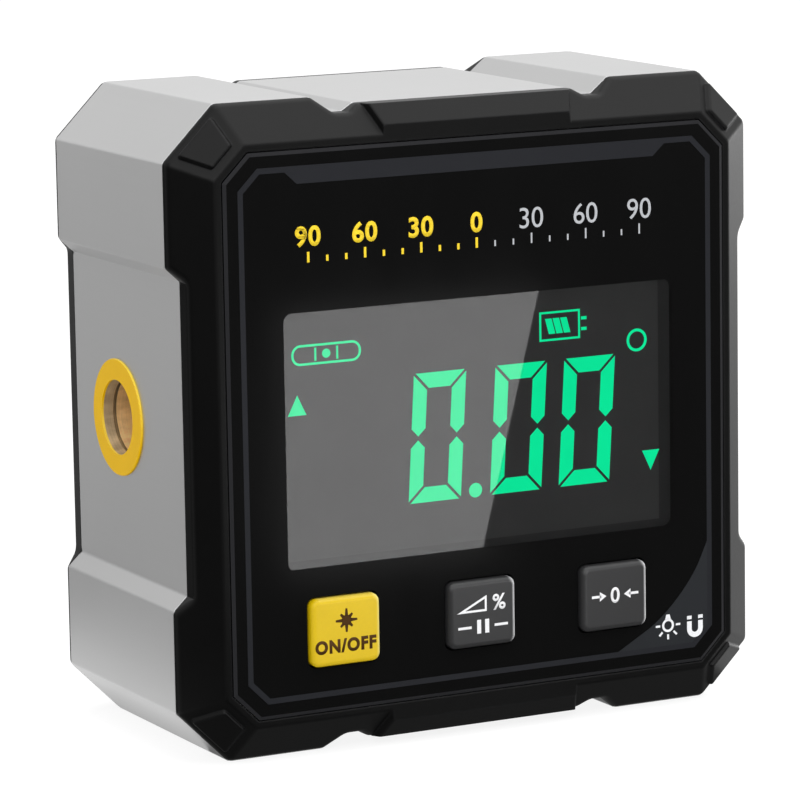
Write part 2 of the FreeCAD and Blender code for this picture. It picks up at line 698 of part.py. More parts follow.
def leg_y():
    return LASER_Y - DRIVER_SIZE[1] / 2 - LEG_RADIUS


def driver_start():
    return can_face() + CAN_THICK + DRIVER_GAP


def driver_end():
    return driver_start() + DRIVER_SIZE[0]


def laser_driver():
    """Small board straddled by the diode's legs, its front end inside the barrel's pocket."""
    _, thick, height = DRIVER_SIZE
    return box(driver_start(), driver_end(), LASER_Y - thick / 2, LASER_Y + thick / 2,
               LASER_Z - height / 2, LASER_Z + height / 2)


def holder_span():
    x = (SLEEVE_END + BARREL_END) / 2
    return x - HOLDER_LENGTH / 2, x + HOLDER_LENGTH / 2


def holder_screw_places():
    x = sum(holder_span()) / 2
    reach = HOLDER_HALF + HOLDER_EAR / 2
    return [(x, LASER_Z - reach), (x, LASER_Z + reach)]


def laser_holder():
    """Block bored for the barrel, standing on the rear cover with an ear above and below."""
    x0, x1 = holder_span()
    block = box(x0, x1, LASER_Y - HOLDER_HALF, COVER_FACE, LASER_Z - HOLDER_HALF, LASER_Z + HOLDER_HALF)
    reach = HOLDER_HALF + HOLDER_EAR
    ears = box(x0, x1, COVER_FACE - HOLDER_EAR_THICK, COVER_FACE, LASER_Z - reach, LASER_Z + reach)
    cuts = [tube_x(BARREL_RADIUS + FIT_GAP, x0, x1)]
    cuts += [rod(x, z, SMALL_SCREW + FIT_GAP, COVER_FACE - HOLDER_EAR_THICK, COVER_FACE)
             for x, z in holder_screw_places()]
    return joined([block, ears]).cut(cuts)


def holder_screws():
    head = COVER_FACE - HOLDER_EAR_THICK - SMALL_HEAD_THICK
    return group([placed(small_screw(), x, head, z, V(0, -1, 0)) for x, z in holder_screw_places()])


# ---- power ----
def battery_cell():
    """Flat rechargeable cell with rounded sides."""
    width, thick, height = CELL_SIZE
    back = COVER_FACE - CELL_TAPE
    cell = centred_box(CELL_X, CELL_Z, width, height, back - thick, back)
    upright = [e for e in cell.Edges if abs(abs(e.tangentAt(e.FirstParameter).z) - 1) < TINY]
    return cell.makeFillet(CELL_ROUND, upright)


def battery_tape():
    return centred_box(CELL_X, CELL_Z, *CELL_TAPE_SIZE, COVER_FACE - CELL_TAPE, COVER_FACE)


def usb_screw_places():
    reach = (USB_BOARD[0] + USB_SHELL[0]) / 4
    y = COVER_FACE - SHELF_LENGTH / 2
    return [(USB_X - reach, y), (USB_X + reach, y)]


def usb_board_front():
    return COVER_FACE - FIT_GAP - USB_BOARD[1]


def usb_board():
    width, length, thick = USB_BOARD
    front = usb_board_front()
    plate = box(USB_X - width / 2, USB_X + width / 2, front, front + length, USB_BOARD_Z, USB_BOARD_Z + thick)
    return plate.cut([Part.makeCylinder(SMALL_SCREW + FIT_GAP, thick, V(x, y, USB_BOARD_Z))
                      for x, y in usb_screw_places()])


def usb_screws():
    top = USB_BOARD_Z + USB_BOARD[2] + SMALL_HEAD_THICK
    shank = USB_BOARD[2] + SHELF_THICK
    short = screw(SMALL_HEAD, SMALL_HEAD_THICK, SMALL_SCREW, shank)
    return group([placed(short, x, y, top, V(0, 0, 1)) for x, y in usb_screw_places()])


def usb_z():
    return USB_BOARD_Z + USB_BOARD[2] + USB_SHELL[2] / 2


def usb_slab(grow, y0, y1):
    """Rounded section of the charging socket, grown by a gap."""
    width = USB_SHELL[0] + 2 * grow
    height = USB_SHELL[2] + 2 * grow
    return rounded_box(USB_X, usb_z(), width, height, USB_CORNER + grow, y0, y1)


def usb_port():
    """Metal shell with a tongue inside, its mouth just short of the cover's face."""
    mouth = REAR_FLAT - USB_SINK
    back = mouth - USB_SHELL[1]
    shell = usb_slab(0, back, mouth).cut(usb_slab(-USB_WALL, back + USB_BACK, mouth))
    width, length, thick = USB_TONGUE
    tongue = centred_box(USB_X, usb_z(), width, thick, back + USB_BACK, back + USB_BACK + length)
    return shell.fuse(tongue)


def usb_mouth(y0, y1):
    return usb_slab(USB_PLUG_GAP, y0, y1)


# ---- wires ----
def wire(start, corner, end):
    """Two straight runs joined by one tangent arc, as large as the shorter run allows."""
    start, corner, end = V(*start), V(*corner), V(*end)
    into = (corner - start).normalize()
    out = (end - corner).normalize()
    cut = WIRE_BEND * min((corner - start).Length, (end - corner).Length)
    radius = cut / math.tan(into.getAngle(out) / 2)
    centre = corner + (out - into).normalize() * math.hypot(radius, cut)
    crown = centre + (corner - centre).normalize() * radius
    bend = [corner - into * cut, crown, corner + out * cut]
    runs = [Part.makeLine(start, bend[0]), Part.Arc(*bend).toShape(), Part.makeLine(bend[2], end)]
    path = Part.Wire(runs)
    section = Part.Wire([Part.makeCircle(WIRE_RADIUS, start, into)])
    return path.makePipeShell([section], True, True)


def header(name):
    x, z = HEADERS[name]
    return x, HALF_H + z


def wiring():
    """Pairs of leads from the cell, the laser's driver and the charging board to the main board."""
    face = BOARD_REAR + HEADER_SIZE[2]
    cell_top = CELL_Z + CELL_SIZE[2] / 2
    cell_mid = COVER_FACE - CELL_TAPE - CELL_SIZE[1] / 2
    usb_top = USB_BOARD_Z + USB_BOARD[2]
    usb_y = usb_board_front() + USB_LEAD_INSET
    tubes = []
    for shift in (-WIRE_STEP / 2, WIRE_STEP / 2):
        x, z = header("cell")
        tubes.append(wire((x + shift, face, z), (x + shift, cell_mid, z), (x + shift, cell_mid, cell_top)))
        x, z = header("laser")
        tubes.append(wire((x, face, z + shift), (x, LASER_Y, z + shift), (driver_end(), LASER_Y, z + shift)))
        x, z = header("usb")
        tubes.append(wire((x + shift, face, z), (x + shift, usb_y, z), (x + shift, usb_y, usb_top)))
    return group(tubes)


# ---- outside fasteners and label ----
def front_screws():
    return group([placed(case_screw(), x, FACE_FRONT, z, V(0, -1, 0)) for x, z in PORTS])


def rear_screws():
    return group([placed(case_screw(), x, REAR_FLAT - HEAD_SINK, z, V(0, 1, 0)) for x, z in PORTS])


def rear_label():
    return centred_box(0, LABEL_Z, LABEL_WIDTH - 2 * FIT_GAP, LABEL_HEIGHT - 2 * FIT_GAP,
                       REAR_FLAT - LABEL_THICK, REAR_FLAT)


def nodes():
    made = [body_frame, front_bezel, rear_cover, front_panel, panel_tape, lcd_glass, lcd_backlight,
            backlight_leds, lcd_pins, main_pcb, pcb_screws, mcu_chip, tilt_sensor, pcb_parts,
            wire_headers, switch_housings, laser_ring, laser_barrel, laser_nut, laser_lens,
            laser_diode, laser_driver, laser_holder, holder_screws, battery_cell, battery_tape,
            usb_board, usb_screws, usb_port, wiring, magnets, front_screws, rear_screws, rear_label]
    for make in made:
        yield make.__name__, make()
    for name, x in zip(KEYS, KEY_X):
        yield "key_" + name, keycap(x)
        yield "plunger_" + name, plunger(x)


os.makedirs("parts", exist_ok=True)
for name, shape in nodes():
    shape.exportStep("parts/" + name + ".step")
    print(name, len(shape.Solids), round(shape.Volume, 2), shape.isValid())
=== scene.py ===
import math

import bmesh
import bpy
from bpy.props import FloatProperty, FloatVectorProperty, PointerProperty
from mathutils import Matrix, Vector


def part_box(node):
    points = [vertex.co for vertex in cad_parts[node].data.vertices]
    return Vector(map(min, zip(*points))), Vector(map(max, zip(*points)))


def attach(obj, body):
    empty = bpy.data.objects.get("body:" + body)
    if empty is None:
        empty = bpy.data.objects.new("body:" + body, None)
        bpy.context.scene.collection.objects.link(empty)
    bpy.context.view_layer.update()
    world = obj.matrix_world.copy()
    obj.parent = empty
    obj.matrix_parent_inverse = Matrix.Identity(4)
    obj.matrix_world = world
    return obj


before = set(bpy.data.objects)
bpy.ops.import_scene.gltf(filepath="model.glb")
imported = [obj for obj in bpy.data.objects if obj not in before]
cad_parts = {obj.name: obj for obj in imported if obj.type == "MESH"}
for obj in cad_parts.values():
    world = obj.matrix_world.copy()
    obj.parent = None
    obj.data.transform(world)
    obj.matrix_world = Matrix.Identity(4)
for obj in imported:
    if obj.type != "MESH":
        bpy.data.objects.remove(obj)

bl_info = {
    "name": "Digital inclinometer",
    "version": (1, 0, 0),
    "blender": (4, 5, 0),
    "location": "3D View > Sidebar > Inclinometer",
    "description": "Finishes, printing, lit display and studio of a square digital inclinometer",
    "category": "Object",
}

MM = 0.001
EIGHTH_TURN = math.pi / 4
FLAT_TURN = Matrix.Rotation(math.pi / 2, 4, "X")

# How far the lit segments and the keys' printing stand proud, in millimetres
LIT_RISE = 0.02
KEY_INK_RISE = 0.005


def screen(red, green, blue):
    """Linear colour of a tone given as 0 to 255 on a screen."""
    return tuple(((tone / 255 + 0.055) / 1.055) ** 2.4 if tone > 10 else tone / 255 / 12.92
                 for tone in (red, green, blue))


def low(node, axis):
    """Lowest place of a CAD node along an axis, in millimetres."""
    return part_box(node)[0]["xyz".index(axis)] / MM


def high(node, axis):
    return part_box(node)[1]["xyz".index(axis)] / MM


def middle(node, axis):
    return (low(node, axis) + high(node, axis)) / 2


# ---- sizes and colours that a user may change ----
def length(name, description, millimetres):
    return FloatProperty(name=name, description=description, default=millimetres * MM,
                         min=0, precision=5, unit="LENGTH")


def colour(name, description, red, green, blue):
    return FloatVectorProperty(name=name, description=description, default=screen(red, green, blue),
                               size=3, min=0, max=1, subtype="COLOR")


def share(name, description, value):
    return FloatProperty(name=name, description=description, default=value, min=0, max=1,
                         subtype="FACTOR")


def watts(name, description, value):
    return FloatProperty(name=name, description=description, default=value, min=0, unit="POWER")


class CaseLook(bpy.types.PropertyGroup):
    metal: colour("Metal", "Clear anodised aluminium", 188, 188, 188)
    metal_grain: length("Metal grain", "Size of the blasted grain", 0.14)
    metal_rough: share("Metal roughness", "Roughness of the blasted metal", 0.36)
    moulding: colour("Moulding", "Black end mouldings", 4, 4, 4)
    moulding_grain: length("Moulding grain", "Size of the spark-eroded texture", 0.3)
    moulding_rough: share("Moulding roughness", "Roughness of the black plastic", 0.4)
    edge_width: length("Edge wear", "Width of the rubbed edges", 0.22)
    label: colour("Label", "Bare film label on the rear", 186, 188, 190)


class PanelLook(bpy.types.PropertyGroup):
    colour: colour("Panel", "Black panel", 15, 15, 15)
    rim: colour("Rim", "Bevelled edge of the panel", 39, 39, 41)
    ink: colour("Ink", "Blue grey printing on the panel", 33, 34, 38)
    ink_rise: length("Ink rise", "How far the ink stands proud", 0.015)
    line_reach: length("Line reach", "Border line, from the middle to its outer edge", 24.35)
    line_chamfer: length("Line chamfer", "Leg of the border line's corners", 1.95)
    line_width: length("Line width", "Width of the border line", 0.52)
    window_width: length("Window width", "Clear window over the display", 40.3)
    window_height: length("Window height", "Clear window over the display", 23.5)
    window_corner: length("Window corner", "Corner radius of the window", 0.85)


class ScaleLook(bpy.types.PropertyGroup):
    left: colour("Left half", "Yellow half of the scale", 240, 206, 40)
    right: colour("Right half", "Pale half of the scale", 178, 180, 184)
    pitch: length("Pitch", "Distance between marks", 1.9)
    figure: length("Figures", "Height of the figures", 1.9)


class DisplayLook(bpy.types.PropertyGroup):
    glass: colour("Glass", "Dark display glass", 42, 42, 42)
    lit: colour("Lit segments", "Green light of the figures", 12, 226, 150)
    digit_height: length("Digit height", "Height of the large digits", 12.0)
    digit_width: length("Digit width", "Width of the large digits", 5.4)
    stroke: length("Stroke", "Width of a segment", 1.42)
    gap: length("Gap", "Dark line between segments", 0.18)
    slant: FloatProperty(name="Slant", description="Lean of the digits", default=math.radians(3.6),
                         subtype="ANGLE")


class KeyLook(bpy.types.PropertyGroup):
    yellow: colour("Yellow", "Power key", 214, 181, 3)
    grey: colour("Grey", "Tilt and zero keys", 43, 43, 44)
    dark_mark: colour("Dark marks", "Marks on the yellow key", 74, 48, 14)
    light_mark: colour("Light marks", "Marks on the grey keys", 236, 236, 238)


class LaserLook(bpy.types.PropertyGroup):
    ring: colour("Ring", "Yellow ring at the aperture", 227, 179, 2)
    brass: colour("Brass", "Turned brass deep in the barrel", 244, 208, 152)
    mouth: colour("Mouth", "Worn brass at the barrel's mouth", 196, 176, 142)


class StudioLook(bpy.types.PropertyGroup):
    top: watts("Top lamp", "Soft lamp overhead", 5.0)
    side: watts("Side lamp", "Low soft lamp on the right", 1.0)
    fill: watts("Fill lamp", "Soft lamp by the camera", 2.6)
    air: share("Air", "Even light from all round", 0.55)
    floor: share("Floor", "Tone of the pale floor", 0.8)
    lens: FloatProperty(name="Lens", description="Focal length of the camera", default=206.0,
                        subtype="DISTANCE_CAMERA")


# ---- shader maths ----
class Value:
    """A shader socket that takes Python's signs: each one adds a Math node."""

    def __init__(self, finish, socket):
        self.finish = finish
        self.socket = socket

    def maths(self, operation, *terms):
        return self.finish.node("ShaderNodeMath", {"operation": operation}, dict(enumerate(terms)))

    def __add__(self, other):
        return self.maths("ADD", self, other)

    def __radd__(self, other):
        return self.maths("ADD", other, self)

    def __sub__(self, other):
        return self.maths("SUBTRACT", self, other)

    def __rsub__(self, other):
        return self.maths("SUBTRACT", other, self)

    def __mul__(self, other):
        return self.maths("MULTIPLY", self, other)

    def __rmul__(self, other):
        return self.maths("MULTIPLY", other, self)

    def __gt__(self, other):
        return self.maths("GREATER_THAN", self, other)

    def __lt__(self, other):
        return self.maths("LESS_THAN", self, other)

    def __abs__(self):
        return self.maths("ABSOLUTE", self)

    def __pow__(self, other):
        return self.maths("POWER", self, other)

    def most(self, other):
        return self.maths("MAXIMUM", self, other)

    def least(self, other):
        return self.maths("MINIMUM", self, other)


class Finish:
    """A material, or the world, and the nodes that make it."""

    def __init__(self, name, owner=None):
        self.owner = owner or bpy.data.materials.new(name)
        self.owner.use_nodes = True
        self.tree = self.owner.node_tree
        self.tree.nodes.clear()
        self.surface_place = None

    def node(self, kind, settings=None, sockets=None, output=0):
        """Adds a node. Its settings come first, then its sockets take values or links."""
        added = self.tree.nodes.new(kind)
        for name, setting in (settings or {}).items():
            if name == "stops":
                stops = added.color_ramp.elements
                while len(stops) < len(setting):
                    stops.new(0.5)
                for stop, (place, tone) in zip(stops, setting):
                    stop.position = place
                    stop.color = (tone, tone, tone, 1)
            else:
                setattr(added, name, setting)
        for name, value in (sockets or {}).items():
            if isinstance(value, Value):
                self.tree.links.new(value.socket, added.inputs[name])
            elif name in ("Base Color", "Emission Color", "Color") and len(value) == 3:
                added.inputs[name].default_value = (*value, 1)
            else:
                added.inputs[name].default_value = value
        return Value(self, added.outputs[output])

    def place(self):
        """The surface's own place on the object, in metres."""
        if self.surface_place is None:
            self.surface_place = self.node("ShaderNodeTexCoord", output="Object")
        return self.surface_place

    def along(self, axis):
        """Place along one axis, in millimetres."""
        return self.node("ShaderNodeSeparateXYZ", None, {0: self.place()}, axis.upper()) * (1 / MM)

    def noise(self, size, detail, stretch=(1, 1, 1)):
        """Cloudy values about 0.5, with features of a size in millimetres."""
        spot = self.node("ShaderNodeMapping", None, {"Vector": self.place(), "Scale": stretch})
        sockets = {"Vector": spot, "Scale": 1 / (size * MM), "Detail": detail, "Roughness": 0.55}
        return self.node("ShaderNodeTexNoise", None, sockets)

    def scaled(self, tone, factor):
        """A colour made lighter or darker by a value."""
        return self.node("ShaderNodeVectorMath", {"operation": "SCALE"}, {0: tone, "Scale": factor})

    def mix(self, factor, first, second):
        """Goes from one colour to another."""
        sockets = {0: factor, 6: first, 7: second}
        for index in (6, 7):
            if not isinstance(sockets[index], Value):
                sockets[index] = (*sockets[index], 1)
        return self.node("ShaderNodeMix", {"data_type": "RGBA"}, sockets, 2)

    def ramp(self, value, *stops):
        """Goes through stops, each given as where and how much."""
        return self.node("ShaderNodeValToRGB", {"stops": stops}, {0: value})

    def rounding(self, width):
        """Normal that rounds sharp edges over a width in millimetres."""
        return self.node("ShaderNodeBevel", {"samples": 4}, {"Radius": width * MM})

    def edges(self, rounded):
        """1 on edges, 0 on flats."""
        return self.ramp(1 - self.facing(rounded), (0.004, 0), (0.06, 1))

    def facing(self, direction):
        """1 where the surface faces a direction, 0 across it and -1 away from it."""
        normal = self.node("ShaderNodeNewGeometry", output="True Normal")
        return self.node("ShaderNodeVectorMath", {"operation": "DOT_PRODUCT"},
                         {0: normal, 1: direction}, 1)

    def bump(self, height, depth, normal=None, strength=1.0):
        """Relief from a value, depth in millimetres."""
        sockets = {"Height": height, "Distance": depth * MM, "Strength": strength}
        if normal is not None:
            sockets["Normal"] = normal
        return self.node("ShaderNodeBump", None, sockets)

    def shader(self, **sockets):
        """Principled surface, with sockets named in words joined by underscores."""
        sockets = {name.replace("_", " "): value for name, value in sockets.items()}
        made = self.node("ShaderNodeBsdfPrincipled", None, sockets)
        return self.end(made)

    def end(self, made, kind="ShaderNodeOutputMaterial"):
        """Closes the nodes with an output, and gives back what they belong to."""
        output = self.tree.nodes.new(kind)
        self.tree.links.new(made.socket, output.inputs["Surface"])
        return self.owner


def dress(node, material):
    """Gives a CAD node its material."""
    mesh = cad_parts[node].data
    mesh.materials.clear()
    mesh.materials.append(material)


# ---- finishes ----
def blasted_metal(look):
    """Clear anodised aluminium with a fine blasted grain and brighter rubbed edges.

    The slopes that look down to the left carry painted light higher up, and painted shade close to
    the base.
    """
    finish = Finish("blasted_aluminium")
    grain = finish.noise(look.metal_grain / MM, 3)
    cloud = finish.noise(11, 2)
    drawn = finish.noise(0.5, 2, (1, 0.03, 1))
    rounded = finish.rounding(look.edge_width / MM)
    wear_and_highlight = finish.edges(rounded) * finish.noise(1.2, 3)
    tone = 0.93 + grain * 0.08 + cloud * 0.05 + drawn * 0.02
    # Painted light and shade: slopes facing down to the left are lightened above 10 mm and darkened
    # towards the base.
    down_left = (-0.707, 0, -0.707)
    slope = finish.ramp(finish.facing(down_left), (0.85, 0), (0.96, 1))
    up = finish.along("z")
    painted_light = (up > 10) * 0.17
    painted_shade = finish.ramp(up * 0.1, (0, 0.34), (0.4, 0))
    tone = tone * (1 + slope * (painted_light - painted_shade))
    base = finish.mix(wear_and_highlight, finish.scaled(look.metal, tone), screen(236, 237, 240))
    return finish.shader(
        Base_Color=base,
        Metallic=1.0,
        Roughness=look.metal_rough - 0.06 + grain * 0.12 + cloud * 0.05 - wear_and_highlight * 0.08,
        Normal=finish.bump(grain, 0.006, rounded, 0.6),
    )


def black_plastic(name, look, specular):
    """Black moulded plastic with a spark-eroded grain and grey rubbed edges.

    The narrow rims that look to the side are matt, as far as they belong to the front moulding.
    """
    finish = Finish(name)
    grain = finish.noise(look.moulding_grain / MM, 4)
    cloud = finish.noise(7, 2)
    rounded = finish.rounding(look.edge_width / MM)
    wear_and_highlight = finish.edges(rounded) * finish.noise(0.9, 3)
    base = finish.mix(wear_and_highlight * 0.2, finish.scaled(look.moulding, 0.75 + cloud * 0.3 + grain * 0.2),
                      screen(74, 74, 77))
    side_rims = finish.ramp(abs(finish.facing((1, 0, 0))), (0.9, 0), (0.98, 1))
    matt = side_rims * (finish.along("y") < 0)
    return finish.shader(
        Base_Color=base,
        Roughness=look.moulding_rough - 0.05 + grain * 0.08 + cloud * 0.05 + matt * 0.55,
        Specular_IOR_Level=specular,
        Normal=finish.bump(grain, 0.008, rounded, 0.5),
    )


def panel_film(look):
    """Black panel, clear over the display, with a paler bevelled rim and faint wipe marks.

    The window is a little wider on the panel's rear, so that no dark edge shows at a slant.
    """
    window_x = 0.05
    window_z = middle("lcd_glass", "z") - 0.45
    rear_extra = 0.8
    finish = Finish("black_panel")
    wipes = finish.noise(5, 3, (1, 1, 0.3))
    dust = finish.noise(0.25, 2)
    across = finish.along("x")
    up = finish.along("z")
    corner = look.window_corner / MM
    half_width = look.window_width / MM / 2 - corner
    half_height = look.window_height / MM / 2 - corner
    rearward = finish.facing((0, 1, 0))
    flat = abs(rearward)
    wider = (rearward > 0.5) * rear_extra
    out_x = (abs(across - window_x) - (wider + half_width)).most(0)
    out_z = (abs(up - window_z) - (wider + half_height)).most(0)
    opaque = (out_x * out_x + out_z * out_z) ** 0.5 > corner
    rim = (flat < 0.97) * (flat > 0.5)
    base = finish.mix(rim, finish.scaled(look.colour, 0.85 + wipes * 0.15 + dust * 0.15),
                      finish.scaled(look.rim, 0.85 + wipes * 0.3))
    return finish.shader(
        Base_Color=base,
        Roughness=0.1 + wipes * 0.08 + rim * 0.2,
        Specular_IOR_Level=0.035,
        Alpha=opaque,
        Normal=finish.bump(finish.noise(2.5, 1), 0.002),
    )


def film_ink(name, tone, specular=0.1):
    """Screen-printed ink with a faint mesh grain."""
    finish = Finish(name)
    weave = finish.noise(0.12, 2)
    cloud = finish.noise(4, 2)
    return finish.shader(
        Base_Color=finish.scaled(tone, 0.86 + weave * 0.14 + cloud * 0.14),
        Roughness=0.42 + weave * 0.12,
        Specular_IOR_Level=specular,
        Normal=finish.bump(weave, 0.003),
    )


def display_glass(look):
    """Dark glass of the display, a shade darker along its right and lower border."""
    border_x = 19.1
    border_height = 1.9
    finish = Finish("display_glass")
    film = finish.noise(6, 2)
    specks = finish.noise(0.3, 2)
    up = finish.along("z") - low("lcd_glass", "z")
    border = (finish.along("x") > border_x).most(up < border_height)
    base = finish.mix(border, finish.scaled(look.glass, 0.9 + film * 0.2),
                      finish.scaled(look.glass, 0.6))
    return finish.shader(
        Base_Color=base,
        Roughness=0.012 + specks * 0.012,
        Specular_IOR_Level=0.3,
        Normal=finish.bump(film, 0.0003),
    )


def lit_segment(look):
    """Green light through the display's open segments, behind the same glossy surface."""
    finish = Finish("lit_segments")
    spread = finish.noise(3, 2)
    return finish.shader(
        Base_Color=(0.0, 0.01, 0.004),
        Roughness=0.012 + finish.noise(0.3, 2) * 0.012,
        Specular_IOR_Level=0.26,
        Emission_Color=finish.scaled(look.lit, 0.94 + spread * 0.12),
        Emission_Strength=1.0,
    )


def satin_plastic(name, tone, painted_light, roughness, specular, highlight_side):
    """Coloured moulded plastic with a fine grain, and a painted highlight, mottled like wear, on
    the sides that face one way.
    """
    finish = Finish(name)
    fine = finish.noise(0.2, 3)
    cloud = finish.noise(3, 2)
    # Painted highlight: faces turned the given way are mixed towards the pale colour.
    wear_and_highlight = finish.ramp(finish.facing(highlight_side), (0.12, 0), (0.8, 1))
    wear_and_highlight = wear_and_highlight * (0.75 + finish.noise(0.6, 2) * 0.5)
    base = finish.mix(wear_and_highlight, finish.scaled(tone, 0.9 + fine * 0.08 + cloud * 0.12), painted_light)
    return finish.shader(
        Base_Color=base,
        Roughness=roughness - 0.04 + fine * 0.1 - wear_and_highlight * 0.1,
        Specular_IOR_Level=specular,
        Normal=finish.bump(fine, 0.003),
    )


def turned_brass(look):
    """Brass with turning marks: muted and silvery at the mouth, golden past the groove. The groove
    carries painted shade, and the bore painted light low down and painted shade high up.
    """
    groove_start, groove_end = 0.93, 1.27
    finish = Finish("turned_brass")
    depth = finish.along("x") - low("laser_barrel", "x")
    stain = finish.noise(1.1, 4, (0.5, 1, 1))
    marks = finish.noise(0.12, 2, (1, 0.02, 0.02))
    deep = finish.ramp(depth * 0.1, (0.08, 0), (0.13, 1))
    # Painted shade: the groove is darkened.
    groove = (depth > groove_start) * (depth < groove_end)
    # Painted light and shade: the bore's lower wall is lightened and its upper wall darkened.
    height = (finish.along("z") - middle("laser_barrel", "z")) * 0.1 + 0.5
    painted_shading = 0.7 + finish.ramp(height, (0.25, 1), (0.6, 0)) * 0.5
    tone = finish.mix(deep, look.mouth, look.brass)
    tone = finish.scaled(tone, (0.1 + marks * 0.5 + stain * 1.25) * (1 - groove * 0.6) * painted_shading)
    return finish.shader(
        Base_Color=tone,
        Metallic=0.35,
        Roughness=0.34 + stain * 0.16 + marks * 0.1,
        Normal=finish.bump(marks, 0.01),
    )


def plain_metal(name, tone, roughness, grain=0.1):
    """Machined or plated metal."""
    finish = Finish(name)
    fine = finish.noise(grain, 3)
    stain = finish.noise(1.8, 3)
    return finish.shader(
        Base_Color=finish.scaled(tone, 0.82 + fine * 0.16 + stain * 0.2),
        Metallic=1.0,
        Roughness=roughness - 0.05 + fine * 0.1 + stain * 0.06,
        Normal=finish.bump(fine, 0.004),
    )


def plain_plastic(name, tone, roughness, grain=0.2):
    """Plain moulded, coated or taped surface."""
    finish = Finish(name)
    fine = finish.noise(grain, 3)
    cloud = finish.noise(2.6, 2)
    return finish.shader(
        Base_Color=finish.scaled(tone, 0.85 + fine * 0.14 + cloud * 0.16),
        Roughness=roughness - 0.04 + fine * 0.12,
        Specular_IOR_Level=0.4,
        Normal=finish.bump(fine, 0.006),
    )


def circuit_resist():
    """Green solder resist over copper tracks."""
    finish = Finish("circuit_resist")
    upright = finish.node("ShaderNodeMapping", None,
                          {"Vector": finish.place(), "Rotation": (math.pi / 2, 0, 0)})
    tracks = finish.node("ShaderNodeTexBrick", {"offset": 0.37, "offset_frequency": 3},
                         {"Vector": upright, "Scale": 320.0, "Mortar Size": 0.07,
                          "Brick Width": 1.7, "Row Height": 0.4}, 1)
    fine = finish.noise(0.2, 2)
    base = finish.mix(tracks, screen(22, 84, 44), screen(44, 124, 66))
    return finish.shader(
        Base_Color=finish.mix(fine * 0.2, base, screen(14, 60, 30)),
        Roughness=0.34 + fine * 0.12,
        Normal=finish.bump(tracks, 0.02),
    )


def clear_lens():
    """Coated lens of the laser."""
    finish = Finish("coated_lens")
    dust = finish.noise(0.2, 2)
    return finish.shader(
        Base_Color=finish.scaled(screen(210, 216, 235), 0.92 + dust * 0.1),
        Roughness=0.02 + dust * 0.04,
        Transmission_Weight=0.9,
        IOR=1.5,
    )


def rear_film(look):
    """Bare film label with a fine printed line round it."""
    line_inset, line_width = 1.0, 0.25
    finish = Finish("label_film")
    fibre = finish.noise(0.35, 3)
    cloud = finish.noise(6, 2)
    half_x = (high("rear_label", "x") - low("rear_label", "x")) / 2
    half_z = (high("rear_label", "z") - low("rear_label", "z")) / 2
    inset = (half_x - abs(finish.along("x") - middle("rear_label", "x"))).least(
        half_z - abs(finish.along("z") - middle("rear_label", "z")))
    line = (inset > line_inset) * (inset < line_inset + line_width)
    base = finish.mix(line, finish.scaled(look.label, 0.9 + fibre * 0.08 + cloud * 0.08),
                      screen(60, 62, 66))
    return finish.shader(
        Base_Color=base,
        Roughness=0.4 + fibre * 0.12,
        Normal=finish.bump(fibre, 0.004),
    )


# ---- flat figures ----
def object_from(mesh, name, material):
    """Turns a finished bmesh into an object of the scene."""
    data = bpy.data.meshes.new(name)
    mesh.to_mesh(data)
    mesh.free()
    data.materials.append(material)
    made = bpy.data.objects.new(name, data)
    bpy.context.scene.collection.objects.link(made)
    return made


def oblong(left, foot, right, top):
    """Corners of a rectangle."""
    return [(left, foot), (right, foot), (right, top), (left, top)]


